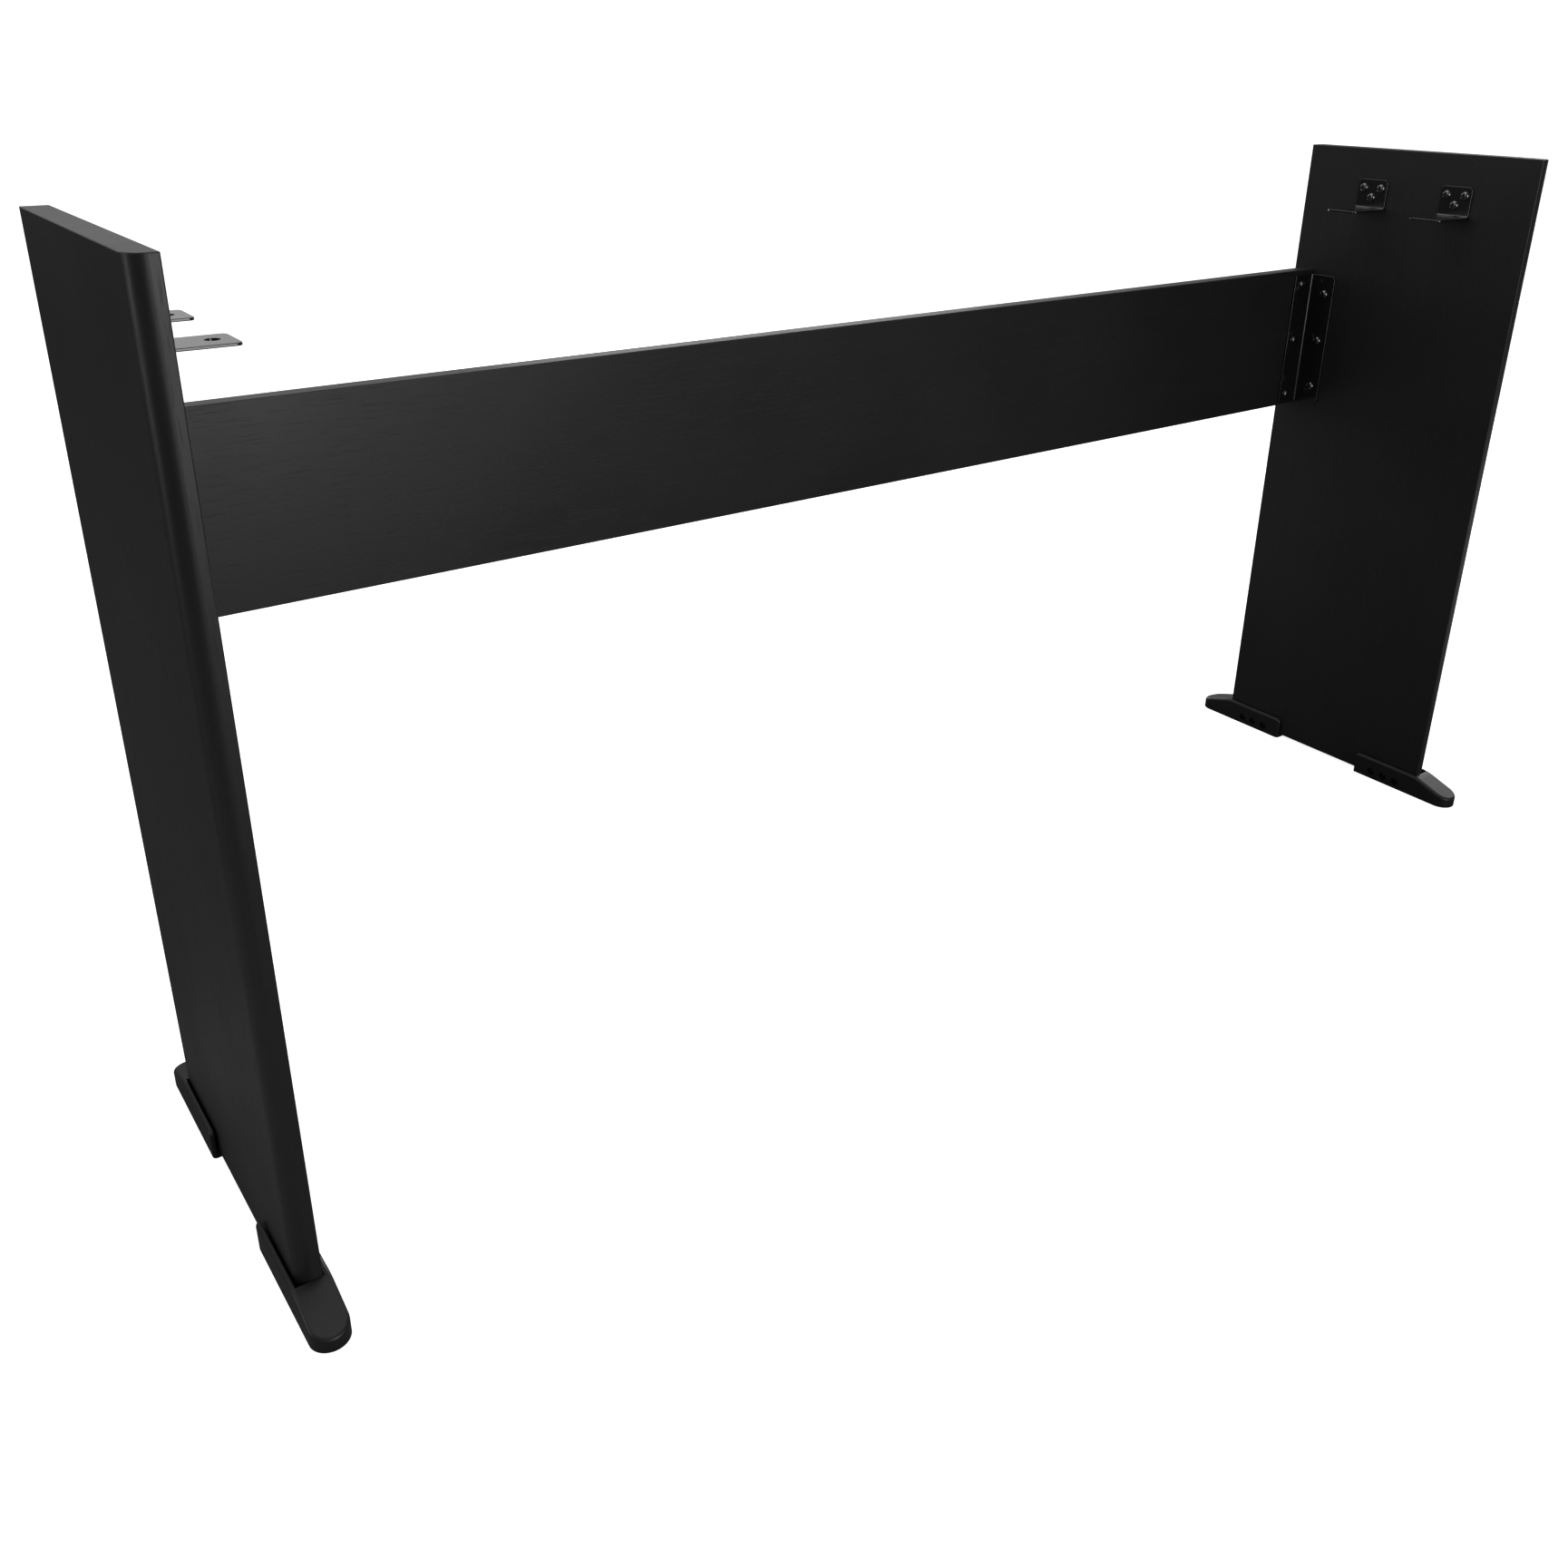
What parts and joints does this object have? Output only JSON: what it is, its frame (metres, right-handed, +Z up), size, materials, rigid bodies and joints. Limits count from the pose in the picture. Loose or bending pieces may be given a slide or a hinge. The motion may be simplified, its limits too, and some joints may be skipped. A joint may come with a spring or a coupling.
{
  "type": "digital piano stand",
  "caption": "Flat-pack stand for a slab digital piano: two upright side boards on long moulded feet, a back panel, and steel angle brackets the piano is bolted to",
  "frame": {"origin": "centre of the stand's box, on the floor", "axes": "X left to right, -Y towards the player, Z up"},
  "size_m": [1.3712, 0.359, 0.716],
  "materials": {
    "board_laminate": "satin black laminate, fine vertical grain",
    "panel_laminate": "satin black laminate, fine lengthwise grain",
    "edge_band": "smooth satin edge band",
    "coated_steel": "semi-gloss black powder coat",
    "screw_steel": "black zinc plated",
    "foot_plastic": "fine moulded texture"
  },
  "bodies": {
    "root": {"left_side_board": "board_laminate", "left_top_edge_band": "edge_band", "left_rear_edge_band": "edge_band", "right_side_board": "board_laminate", "right_top_edge_band": "edge_band", "right_rear_edge_band": "edge_band", "back_panel": "panel_laminate", "panel_top_edge_band": "edge_band", "panel_bottom_edge_band": "edge_band", "left_corner_bracket": "coated_steel", "left_corner_bracket_board_screws": "screw_steel", "left_corner_bracket_panel_screws": "screw_steel", "left_front_piano_bracket": "coated_steel", "left_front_piano_bracket_screws": "screw_steel", "left_front_foot": "foot_plastic", "left_front_foot_screws": "screw_steel", "left_rear_piano_bracket": "coated_steel", "left_rear_piano_bracket_screws": "screw_steel", "left_rear_foot": "foot_plastic", "left_rear_foot_screws": "screw_steel", "right_corner_bracket": "coated_steel", "right_corner_bracket_board_screws": "screw_steel", "right_corner_bracket_panel_screws": "screw_steel", "right_front_piano_bracket": "coated_steel", "right_front_piano_bracket_screws": "screw_steel", "right_front_foot": "foot_plastic", "right_front_foot_screws": "screw_steel", "right_rear_piano_bracket": "coated_steel", "right_rear_piano_bracket_screws": "screw_steel", "right_rear_foot": "foot_plastic", "right_rear_foot_screws": "screw_steel"}
  },
  "joints": []
}
